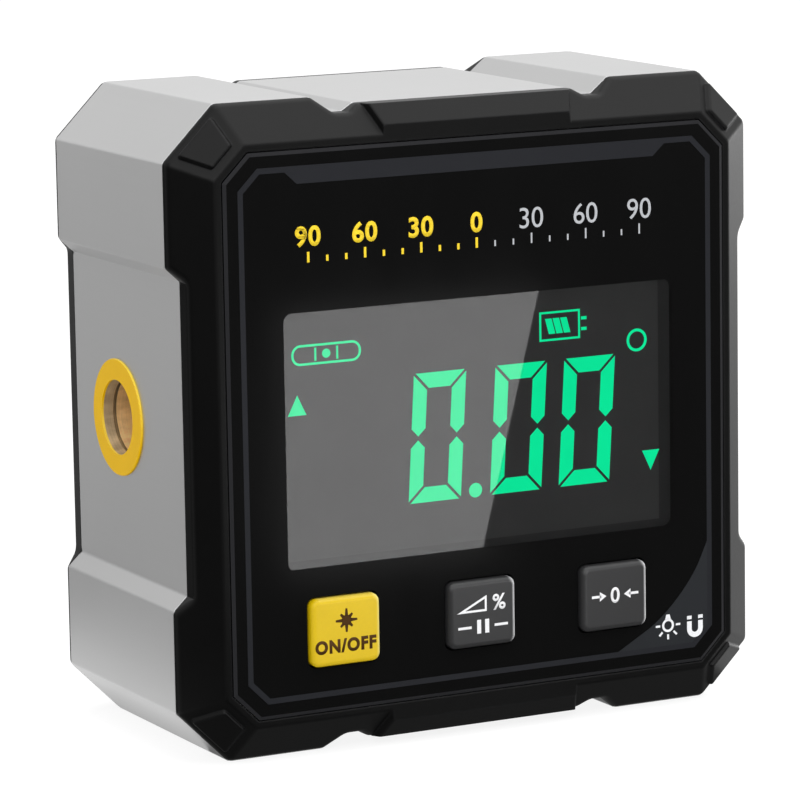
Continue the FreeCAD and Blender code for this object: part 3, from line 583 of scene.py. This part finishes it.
class Marks:
    """Flat figures in a plane that faces the front. Millimetres, each place as (x, z)."""

    def __init__(self):
        self.mesh = bmesh.new()

    def plate(self, corners):
        """A figure from its corners."""
        face = self.mesh.faces.new([self.mesh.verts.new((x, 0, z)) for x, z in corners])
        face.normal_update()
        return face

    def rounded(self, corners, radius, steps, which=None):
        """A figure with rounded corners: all of them, or those numbered."""
        others = set(self.mesh.faces)
        face = self.plate(corners)
        verts = [vert for i, vert in enumerate(face.verts) if which is None or i in which]
        bmesh.ops.bevel(self.mesh, geom=verts, offset=radius, segments=steps, profile=0.5,
                        affect="VERTICES", material=-1)
        return next(made for made in self.mesh.faces if made not in others)

    def hollow(self, face, width):
        """Keeps only a band of a width inside the outline of a figure."""
        bmesh.ops.inset_individual(self.mesh, faces=[face], thickness=width, use_even_offset=True)
        bmesh.ops.delete(self.mesh, geom=[face], context="FACES_ONLY")

    def disc(self, x, z, radius, steps=40):
        made = bmesh.ops.create_circle(self.mesh, cap_ends=True, segments=steps, radius=radius,
                                       matrix=Matrix.Translation((x, 0, z)) @ FLAT_TURN)
        return made["verts"][0].link_faces[0]

    def ring(self, x, z, radius, width, steps=40):
        self.hollow(self.disc(x, z, radius, steps), width)

    def bar(self, start, end, width, end_width=None):
        """A straight stroke, which may narrow towards its end."""
        start, end = Vector(start), Vector(end)
        along = (end - start).normalized()
        side = Vector((-along.y, along.x)) / 2
        last = width if end_width is None else end_width
        return self.plate([start + side * width, start - side * width,
                           end - side * last, end + side * last])

    def ray(self, centre, angle, inner, outer, width, end_width=None):
        """A stroke that points away from a centre."""
        way = Vector((math.cos(angle), math.sin(angle)))
        self.bar(centre + way * inner, centre + way * outer, width, end_width)

    def word(self, text, x, z, height, weight, width=None):
        """Lettering about a middle place, of a height, and of a width where one is given.

        Bolder letters stand further apart.
        """
        curve = bpy.data.curves.new("lettering", "FONT")
        curve.body = text
        curve.offset = weight
        curve.space_character = 1 + 3 * weight
        curve.resolution_u = 5
        holder = bpy.data.objects.new("lettering", curve)
        letters = bpy.data.meshes.new_from_object(holder)
        places = [vert.co for vert in letters.vertices]
        lows = [min(place[i] for place in places) for i in (0, 1)]
        highs = [max(place[i] for place in places) for i in (0, 1)]
        tall = height / (highs[1] - lows[1])
        wide = tall if width is None else width / (highs[0] - lows[0])
        centre = Vector(((lows[0] + highs[0]) / 2, (lows[1] + highs[1]) / 2, 0))
        letters.transform(Matrix.Translation((x, 0, z)) @ FLAT_TURN
                          @ Matrix.Diagonal((wide, tall, 1, 1)) @ Matrix.Translation(-centre))
        self.mesh.from_mesh(letters)
        bpy.data.objects.remove(holder)
        bpy.data.curves.remove(curve)
        bpy.data.meshes.remove(letters)

    def lean(self, z, slant):
        """Leans every figure to the right about a height."""
        for vert in self.mesh.verts:
            vert.co.x += (vert.co.z - z) * math.tan(slant)

    def piece(self, name, surface, rise, material, body):
        """Raises the figures from a surface, as one piece that rides on a body."""
        mesh = self.mesh
        bmesh.ops.remove_doubles(mesh, verts=mesh.verts, dist=1e-4)
        made = bmesh.ops.extrude_face_region(mesh, geom=mesh.faces[:])
        raised = [part for part in made["geom"] if isinstance(part, bmesh.types.BMVert)]
        bmesh.ops.translate(mesh, verts=raised, vec=(0, -2 * rise, 0))
        bmesh.ops.translate(mesh, verts=mesh.verts, vec=(0, surface + rise, 0))
        bmesh.ops.scale(mesh, verts=mesh.verts, vec=(MM, MM, MM))
        bmesh.ops.recalc_face_normals(mesh, faces=mesh.faces)
        made = object_from(mesh, name, material)
        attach(made, body)


# ---- case ----
class INCLINOMETER_OT_case(bpy.types.Operator):
    """Finish the aluminium case, its two end mouldings, screws, magnets and rear label"""
    bl_idname = "inclinometer.case"
    bl_label = "Case"

    def execute(self, context):
        look = context.scene.inclinometer_case
        dress("body_frame", blasted_metal(look))
        moulding = black_plastic("black_moulding", look, 0.16)
        for node in ("front_bezel", "rear_cover"):
            dress(node, moulding)
        steel = plain_metal("screw_steel", screen(176, 176, 178), 0.34)
        for node in ("front_screws", "rear_screws", "pcb_screws", "holder_screws", "usb_screws"):
            dress(node, steel)
        dress("magnets", plain_metal("plated_magnet", screen(212, 212, 214), 0.2))
        dress("rear_label", rear_film(look))
        return {"FINISHED"}


# ---- panel ----
class INCLINOMETER_OT_panel(bpy.types.Operator):
    """Finish the black panel and print its border line, band and corner"""
    bl_idname = "inclinometer.panel"
    bl_label = "Panel"

    def execute(self, context):
        look = context.scene.inclinometer_panel
        dress("front_panel", panel_film(look))
        dress("panel_tape", plain_plastic("tape", screen(224, 224, 220), 0.6))
        surface = low("front_panel", "y")
        reach = look.line_reach / MM
        leg = look.line_chamfer / MM
        width = look.line_width / MM
        centre = middle("front_panel", "z")
        ink = film_ink("panel_ink", look.ink)
        line = Marks()
        turns = ((1, 1), (1, -1), (-1, -1), (-1, 1))
        corners = []
        for right, upper in turns:
            pair = [((reach - leg) * right, centre + reach * upper),
                    (reach * right, centre + (reach - leg) * upper)]
            corners += pair if right == upper else pair[::-1]
        line.hollow(line.plate(corners), width)
        line.piece("panel_border", surface, look.ink_rise / MM, ink, "case")
        band_top = centre + reach - width
        band_foot = band_top - 1.1
        band = Marks()
        band.plate([(-19.7, band_top), (19.4, band_top), (18.2, band_foot), (-18.5, band_foot)])
        band.piece("panel_band", surface, look.ink_rise / MM, ink, "case")
        edge = reach - width
        foot = centre - edge
        corner = Marks()
        inner = leg - width * (2 - math.sqrt(2))
        upper_tip = (edge, foot + 9.6)
        lower_tip = (14.1, foot)
        bend, bend_radius = (21.2, foot + 3.9), 4.6
        corner.rounded([upper_tip, (edge, foot + inner), (edge - inner, foot), lower_tip, bend],
                       bend_radius, 14, which=(4,))
        corner.piece("panel_corner", surface, look.ink_rise / MM,
                     film_ink("corner_ink", screen(37, 39, 42)), "case")
        return {"FINISHED"}


class INCLINOMETER_OT_scale(bpy.types.Operator):
    """Print a plain degree scale above the display"""
    bl_idname = "inclinometer.scale"
    bl_label = "Degree scale"

    def execute(self, context):
        look = context.scene.inclinometer_scale
        rise = context.scene.inclinometer_panel.ink_rise / MM
        surface = low("front_panel", "y")
        zero = -0.4
        foot = 45.6
        figure_top = foot + 3.3
        long_mark, short_mark = 0.95, 0.55
        pitch = look.pitch / MM
        figure = look.figure / MM
        halves = (
            ("scale_left", -1, look.left, 0.24, 0.03, "yellow_key"),
            ("scale_right", 1, look.right, 0.16, 0.0, "label_film"),
        )
        for name, way, tone, stroke, weight, slot in halves:
            half = Marks()
            for step in range(0 if way < 0 else 1, 10):
                x = zero + way * step * pitch
                numbered = step % 3 == 0
                half.bar((x, foot), (x, foot + (long_mark if numbered else short_mark)), stroke)
                if numbered:
                    half.word(str(step * 10), x, figure_top - figure / 2, figure, weight)
            half.piece(name, surface, rise, film_ink(name, tone, 0.2), "case")
        return {"FINISHED"}


class INCLINOMETER_OT_signs(bpy.types.Operator):
    """Print the small lamp and magnet signs in the panel's lower corner"""
    bl_idname = "inclinometer.signs"
    bl_label = "Lamp and magnet signs"

    def execute(self, context):
        rise = context.scene.inclinometer_panel.ink_rise / MM
        signs = Marks()
        self.lamp(signs, Vector((19.5, 8.1)))
        self.magnet(signs, 22.45, 7.5)
        signs.piece("panel_signs", low("front_panel", "y") - 2 * rise, rise,
                    film_ink("sign_ink", screen(232, 233, 236), 0.2), "case")
        return {"FINISHED"}

    def lamp(self, signs, bulb):
        """A bulb upside down, with its socket above and five rays below."""
        radius, wall = 0.64, 0.22
        socket_foot, socket_top = bulb.y + 0.6, bulb.y + 1.05
        signs.ring(bulb.x, bulb.y, radius, wall)
        signs.bar((bulb.x, socket_foot), (bulb.x, socket_top), 0.6, 0.36)
        for turn in range(5):
            signs.ray(bulb, -turn * EIGHTH_TURN, 0.86, 1.34, 0.2)

    def magnet(self, signs, x, z):
        """A horseshoe with its two poles upwards, each with a parted tip."""
        inner, outer = 0.36, 0.86
        pole_top, tip_foot, tip_top = z + 0.72, z + 0.92, z + 1.25
        width = outer - inner
        bow = signs.disc(x, z, outer)
        outline = bow.verts[:]
        signs.hollow(bow, width)
        bow_parts = [part for vert in outline for face in vert.link_faces
                     for part in (face, *face.verts, *face.edges)]
        bmesh.ops.bisect_plane(signs.mesh, geom=list(dict.fromkeys(bow_parts)), dist=1e-5,
                               plane_co=(0, 0, z), plane_no=(0, 0, 1), clear_outer=True)
        for side in (-1, 1):
            pole = x + side * (inner + outer) / 2
            signs.bar((pole, z), (pole, pole_top), width)
            signs.bar((pole, tip_foot), (pole, tip_top), width)


# ---- display ----
class INCLINOMETER_OT_display(bpy.types.Operator):
    """Light the display's figures behind its dark glass"""
    bl_idname = "inclinometer.display"
    bl_label = "Display"

    def execute(self, context):
        look = context.scene.inclinometer_display
        dress("lcd_glass", display_glass(look))
        dress("lcd_backlight", plain_plastic("light_plate", screen(232, 238, 232), 0.5))
        dress("backlight_leds", plain_plastic("lamp_body", screen(236, 232, 200), 0.4))
        dress("lcd_pins", plain_metal("tinned_pin", screen(214, 214, 210), 0.3))
        lit = lit_segment(look)
        surface = low("lcd_glass", "y")
        foot = 22.4
        point = (-0.45, 23.0)
        degree = (16.8, 35.5)
        up_arrow = [(-19.45, 31.65), (-17.6, 31.65), (-18.5, 33.5)]
        down_arrow = [(17.3, 24.95), (18.2, 23.05), (19.15, 24.95)]
        tall = look.digit_height / MM
        wide = look.digit_width / MM
        digits = Marks()
        for x in (-7.4, 1.05, 8.3):
            self.nought(digits, x, foot, wide, tall, look.stroke / MM, look.gap / MM)
        digits.lean(foot, look.slant)
        digits.disc(*point, 0.68, 32)
        digits.piece("display_digits", surface, LIT_RISE, lit, "case")
        signs = Marks()
        signs.ring(*degree, 1.08, 0.27, 48)
        signs.plate(up_arrow)
        signs.plate(down_arrow)
        self.battery(signs, 6.45, 36.2)
        self.vial(signs, -15.5, 37.1)
        signs.piece("display_signs", surface, LIT_RISE, lit, "case")
        return {"FINISHED"}

    def nought(self, marks, x, z, wide, tall, stroke, gap):
        """Six lit segments of a 0, mitred at the corners and pointed at the middle."""
        half = tall / 2
        inner = wide - stroke
        across = [(gap, half), (wide - gap, half),
                  (inner - gap, half - stroke), (stroke + gap, half - stroke)]
        left = [(0, half - gap), (stroke, half - stroke - gap), (stroke, stroke / 2 + gap),
                (stroke / 2, gap), (0, stroke / 2 + gap)]
        right = [(wide - u, v) for u, v in left]
        for corners in (across, left, right):
            for way in (1, -1):
                marks.plate([(x + u, z + half + way * v) for u, v in corners])

    def battery(self, signs, x, z):
        """A cell outline with three slanted bars and two small caps."""
        wide, tall, wall = 4.3, 2.75, 0.2
        bar_foot, bar_top = z + 0.65, z + 2.1
        signs.hollow(signs.plate(oblong(x, z, x + wide, z + tall)), wall)
        for step in range(3):
            left = x + 1.0 + step * 0.8
            signs.plate([(left, bar_foot), (left + 0.68, bar_foot),
                         (left + 0.28, bar_top), (left - 0.4, bar_top)])
        for cap in (z + 0.87, z + 1.87):
            signs.bar((x + 4.42, cap), (x + 5.0, cap), 0.3)

    def vial(self, signs, x, z):
        """A level vial: capsule, bubble and two hair lines."""
        capsule = oblong(x - 3.5, z - 0.95, x + 3.5, z + 0.95)
        end_radius, wall, bubble = 0.9, 0.22, 0.42
        signs.hollow(signs.rounded(capsule, end_radius, 8), wall)
        signs.disc(x, z, bubble, 24)
        for line in (x - 1.1, x + 1.1):
            signs.bar((line, z - 0.6), (line, z + 0.6), 0.2)


# ---- keys ----
class INCLINOMETER_OT_keys(bpy.types.Operator):
    """Finish the three keys and print their signs"""
    bl_idname = "inclinometer.keys"
    bl_label = "Keys"

    def execute(self, context):
        look = context.scene.inclinometer_keys
        # The pale colour after each key's own colour is its painted highlight on the sides that
        # face right and up.
        yellow = satin_plastic("yellow_key", look.yellow, screen(250, 236, 140), 0.4, 0.3,
                               (0.95, 0, 0.3))
        dress("key_power", yellow)
        grey = satin_plastic("grey_key", look.grey, screen(230, 230, 232), 0.42, 0.4, (1, 0, 0.08))
        plunger = plain_plastic("switch_plunger", screen(120, 120, 122), 0.5)
        for name in ("tilt", "zero"):
            dress("key_" + name, grey)
        for name in ("power", "tilt", "zero"):
            dress("plunger_" + name, plunger)
        dark = film_ink("dark_mark", look.dark_mark)
        light = film_ink("light_mark", look.light_mark, 0.2)
        self.power_marks(dark)
        self.tilt_marks(light)
        self.zero_marks(light)
        return {"FINISHED"}

    def power_marks(self, ink):
        """A star of eight rays over the words on and off."""
        x, z, surface = self.face("key_power")
        star = Vector((x, z + 1.0))
        long_ray, short_ray = 1.1, 0.85
        marks = Marks()
        for turn in range(8):
            reach = long_ray if turn % 2 == 0 else short_ray
            marks.ray(star, turn * EIGHTH_TURN, 0.44, reach, 0.34, 0.2)
        marks.disc(star.x, star.y, 0.5, 24)
        marks.word("ON/OFF", x - 0.1, z - 1.3, 1.3, 0.05, 6.2)
        marks.piece("power_marks", surface, KEY_INK_RISE, ink, "power_key")

    def tilt_marks(self, ink):
        """A wedge and a percent sign over two hold bars between two lines."""
        x, z, surface = self.face("key_tilt")
        wedge = [(x - 2.7, z + 0.2), (x + 0.4, z + 0.2), (x + 0.4, z + 1.7)]
        hold = z - 1.2
        marks = Marks()
        marks.hollow(marks.plate(wedge), 0.2)
        marks.word("%", x + 1.7, z + 0.95, 1.5, 0.02)
        for side in (-1, 1):
            marks.bar((x + side * 0.42, hold - 0.65), (x + side * 0.42, hold + 0.65), 0.42)
            marks.bar((x + side * 1.2, hold), (x + side * 2.6, hold), 0.24)
        marks.piece("tilt_marks", surface, KEY_INK_RISE, ink, "tilt_key")

    def zero_marks(self, ink):
        """A nought between two arrows that point at it."""
        x, z, surface = self.face("key_zero")
        level = z + 0.15
        marks = Marks()
        marks.word("0", x, level, 1.5, 0.02)
        for side in (-1, 1):
            head = x + side * 1.65
            marks.bar((x + side * 2.5, level), (x + side * 1.5, level), 0.24)
            marks.plate([(head, level + 0.45), (x + side * 0.95, level), (head, level - 0.45)])
        marks.piece("zero_marks", surface, KEY_INK_RISE, ink, "zero_key")

    def face(self, node):
        """Middle and front of a key."""
        return middle(node, "x"), middle(node, "z"), low(node, "y")


# ---- laser ----
class INCLINOMETER_OT_laser(bpy.types.Operator):
    """Finish the laser: yellow ring, brass barrel, lens, diode and holder"""
    bl_idname = "inclinometer.laser"
    bl_label = "Laser"

    def execute(self, context):
        look = context.scene.inclinometer_laser
        case = context.scene.inclinometer_case
        # The pale yellow is a painted highlight on the ring's faces that look up and forward.
        ring = satin_plastic("yellow_ring", look.ring, screen(250, 216, 80), 0.45, 0.08,
                             (0, -0.5, 0.85))
        dress("laser_ring", ring)
        brass = turned_brass(look)
        for node in ("laser_barrel", "laser_nut", "laser_diode"):
            dress(node, brass)
        dress("laser_lens", clear_lens())
        dress("laser_driver", circuit_resist())
        dress("laser_holder", black_plastic("holder_plastic", case, 0.3))
        return {"FINISHED"}


# ---- inside ----
class INCLINOMETER_OT_inside(bpy.types.Operator):
    """Finish the boards, their parts, the cell, the charging socket and the leads"""
    bl_idname = "inclinometer.inside"
    bl_label = "Inside"

    def execute(self, context):
        resist = circuit_resist()
        for node in ("main_pcb", "usb_board"):
            dress(node, resist)
        plastics = (
            (("mcu_chip", "pcb_parts"), "chip_black", (40, 40, 41), 0.5, 0.1),
            (("wire_headers",), "header_cream", (232, 226, 206), 0.45, 0.2),
            (("switch_housings",), "switch_body", (58, 58, 60), 0.45, 0.2),
            (("battery_tape",), "cell_tape", (214, 206, 150), 0.55, 0.3),
            (("wiring",), "insulation", (168, 34, 28), 0.45, 0.4),
        )
        for nodes, name, tone, roughness, grain in plastics:
            material = plain_plastic(name, screen(*tone), roughness, grain)
            for node in nodes:
                dress(node, material)
        metals = (
            ("tilt_sensor", (190, 190, 190), 0.3, 0.15),
            ("battery_cell", (198, 198, 202), 0.3, 1.6),
            ("usb_port", (206, 206, 208), 0.22, 0.1),
        )
        for node, tone, roughness, grain in metals:
            dress(node, plain_metal(node + "_metal", screen(*tone), roughness, grain))
        return {"FINISHED"}


# ---- studio ----
def laid(height, places):
    """Corners that lie flat at a height, in metres."""
    return [(x, y, height) for x, y in places]


def stage_plate(name, corners, material):
    """A flat stage piece from its corners in metres."""
    mesh = bmesh.new()
    mesh.faces.new([mesh.verts.new(corner) for corner in corners])
    made = object_from(mesh, name, material)
    return made


def gloss_card(name, strength, corners):
    """An evenly glowing card that only gloss sees."""
    finish = Finish(name)
    light = finish.node("ShaderNodeEmission", None, {"Color": (1, 1, 1), "Strength": strength})
    card = stage_plate(name, corners, finish.end(light))
    for ray in ("camera", "diffuse", "transmission", "volume_scatter", "shadow"):
        setattr(card, "visible_" + ray, False)


def soft_lamp(name, place, aim, width, height, power):
    """A rectangular lamp that lights the object and isn't seen itself. Metres and watts."""
    data = bpy.data.lights.new(name, "AREA")
    data.shape = "RECTANGLE"
    data.size = width
    data.size_y = height
    data.energy = power
    lamp = bpy.data.objects.new(name, data)
    lamp.location = place
    lamp.rotation_euler = (Vector(aim) - Vector(place)).to_track_quat("-Z", "Y").to_euler()
    lamp.visible_camera = False
    bpy.context.scene.collection.objects.link(lamp)


CAMERA_PLACE = Vector((-0.19558, -0.37922, 0.10220))
CAMERA_AHEAD = Vector((0.45032, 0.87686, -0.16831))
CAMERA_UP = Vector((0.09170, 0.14208, 0.98560))


class INCLINOMETER_OT_stage(bpy.types.Operator):
    """Set the camera, the pale floor, the lamps and the reflector cards"""
    bl_idname = "inclinometer.stage"
    bl_label = "Studio"

    def execute(self, context):
        look = context.scene.inclinometer_studio
        self.camera(context, look)
        self.floor(look)
        self.air(context, look)
        self.lamps(look)
        self.cards()
        self.display_card()
        context.scene.view_settings.view_transform = "Standard"
        return {"FINISHED"}

    def camera(self, context, look):
        data = bpy.data.cameras.new("camera")
        data.lens = look.lens
        data.sensor_width = 36
        data.clip_start = 0.01
        camera = bpy.data.objects.new("camera", data)
        right = CAMERA_AHEAD.cross(CAMERA_UP).normalized()
        up = right.cross(CAMERA_AHEAD).normalized()
        turn = Matrix((right, up, -CAMERA_AHEAD)).transposed().to_4x4()
        camera.matrix_world = Matrix.Translation(CAMERA_PLACE) @ turn
        context.scene.collection.objects.link(camera)
        context.scene.camera = camera

    def floor(self, look):
        """Pale floor that keeps the shadow and is white to the eye and in reflections."""
        reach = 3.0
        shadow_tone = 0.25
        own_light = 0.85
        finish = Finish("pale_floor")
        mottle = 0.98 + finish.noise(60, 2) * 0.04
        lit, dim = [finish.node("ShaderNodeBsdfDiffuse", None,
                                {"Color": finish.scaled((tone,) * 3, mottle)})
                    for tone in (look.floor, shadow_tone)]
        white = finish.node("ShaderNodeEmission", None, {"Color": (1, 1, 1), "Strength": own_light})
        shown = finish.node("ShaderNodeAddShader", None, {0: dim, 1: white})
        mixed = finish.node("ShaderNodeMixShader", None,
                            {0: self.shown_rays(finish), 1: lit, 2: shown})
        stage_plate("floor", laid(0, oblong(-reach, -reach, reach, reach)), finish.end(mixed))

    def shown_rays(self, finish):
        """1 for rays from the camera, from gloss and through glass."""
        rays = [finish.node("ShaderNodeLightPath", output="Is %s Ray" % kind)
                for kind in ("Camera", "Glossy", "Transmission")]
        return rays[0].most(rays[1]).most(rays[2])

    def air(self, context, look):
        """Even light from all round, and plain white wherever it is seen."""
        world = bpy.data.worlds.new("studio_air")
        context.scene.world = world
        finish = Finish("studio_air", world)
        shown = self.shown_rays(finish)
        strength = look.air + shown * (1 - look.air)
        background = finish.node("ShaderNodeBackground", None,
                                 {"Color": (1, 1, 1), "Strength": strength})
        finish.end(background, "ShaderNodeOutputWorld")

    def lamps(self, look):
        aim = (0, 0, 0.03)
        soft_lamp("top_lamp", (0.12, -0.12, 0.65), aim, 1.0, 0.9, look.top)
        soft_lamp("side_lamp", (0.5, 0.1, 0.05), (0, 0, 0.05), 0.8, 0.1, look.side)
        soft_lamp("fill_lamp", (-0.45, -0.75, 0.45), aim, 0.5, 0.5, look.fill)

    def cards(self):
        """Cards for the gloss: grey behind, at the left and at the foot, black in front."""
        pale, grey, dim, black = 0.62, 0.52, 0.28, 0.005
        side_height, front_height = 0.0003, 0.0002
        back = [(-0.26, 0.06, 0), (0, 0.11, 0), (0, 0.11, 0.05), (-0.26, 0.06, 0.07)]
        side = [(-0.4, -0.02), (-0.045, -0.02), (-0.045, 0.05),
                (0.02, 0.05), (0.02, 0.13), (-0.4, 0.13)]
        front = [(-0.6, -0.6), (0.3, -0.6), (0.3, -0.03), (0.02, -0.021), (-0.6, -0.021)]
        foot = oblong(-0.035, -0.0209, 0.03, -0.008)
        gloss_card("back_card", pale, back)
        gloss_card("side_card", grey, laid(side_height, side))
        gloss_card("front_card", black, laid(front_height, front))
        gloss_card("foot_card", dim, laid(front_height, foot))
        gloss_card("left_card", black, [(-0.6, y, z) for y, z in oblong(-0.6, 0, 0, 0.3)])

    def display_card(self):
        """A bright card in front, placed so that the camera sees it in the left of the glass."""
        sheen = ((-20.6, 17.0), (0.1, 17.0), (6.6, 41.6), (-20.6, 41.6))
        distance = 60
        strength = 5.0
        glass = low("lcd_glass", "y")
        mirrored = Vector((CAMERA_PLACE.x, 2 * glass * MM - CAMERA_PLACE.y, CAMERA_PLACE.z))
        ahead = (glass - distance) * MM
        corners = []
        for x, z in sheen:
            spot = Vector((x * MM, glass * MM, z * MM))
            ray = spot - mirrored
            corners.append(spot + ray * ((ahead - spot.y) / ray.y))
        gloss_card("display_card", strength, corners)


# ---- add-on ----
LOOKS = (
    ("inclinometer_case", CaseLook),
    ("inclinometer_panel", PanelLook),
    ("inclinometer_scale", ScaleLook),
    ("inclinometer_display", DisplayLook),
    ("inclinometer_keys", KeyLook),
    ("inclinometer_laser", LaserLook),
    ("inclinometer_studio", StudioLook),
)
OPERATORS = (
    INCLINOMETER_OT_case,
    INCLINOMETER_OT_panel,
    INCLINOMETER_OT_scale,
    INCLINOMETER_OT_signs,
    INCLINOMETER_OT_display,
    INCLINOMETER_OT_keys,
    INCLINOMETER_OT_laser,
    INCLINOMETER_OT_inside,
    INCLINOMETER_OT_stage,
)


class VIEW3D_PT_inclinometer(bpy.types.Panel):
    """Steps that dress the inclinometer, and their sizes and colours"""
    bl_label = "Digital inclinometer"
    bl_idname = "VIEW3D_PT_inclinometer"
    bl_space_type = "VIEW_3D"
    bl_region_type = "UI"
    bl_category = "Inclinometer"

    def draw(self, context):
        for operator in OPERATORS:
            self.layout.operator(operator.bl_idname)
        for name, group in LOOKS:
            box = self.layout.box()
            look = getattr(context.scene, name)
            for setting in group.__annotations__:
                box.prop(look, setting)


def register():
    for name, group in LOOKS:
        bpy.utils.register_class(group)
        setattr(bpy.types.Scene, name, PointerProperty(type=group))
    for operator in OPERATORS:
        bpy.utils.register_class(operator)
    bpy.utils.register_class(VIEW3D_PT_inclinometer)


def unregister():
    bpy.utils.unregister_class(VIEW3D_PT_inclinometer)
    for operator in reversed(OPERATORS):
        bpy.utils.unregister_class(operator)
    for name, group in reversed(LOOKS):
        delattr(bpy.types.Scene, name)
        bpy.utils.unregister_class(group)


def main():
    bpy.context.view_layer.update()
    register()
    bpy.ops.inclinometer.case()
    bpy.ops.inclinometer.panel()
    bpy.ops.inclinometer.scale()
    bpy.ops.inclinometer.signs()
    bpy.ops.inclinometer.display()
    bpy.ops.inclinometer.keys()
    bpy.ops.inclinometer.laser()
    bpy.ops.inclinometer.inside()
    bpy.ops.inclinometer.stage()


if __name__ == "__main__":
    main()
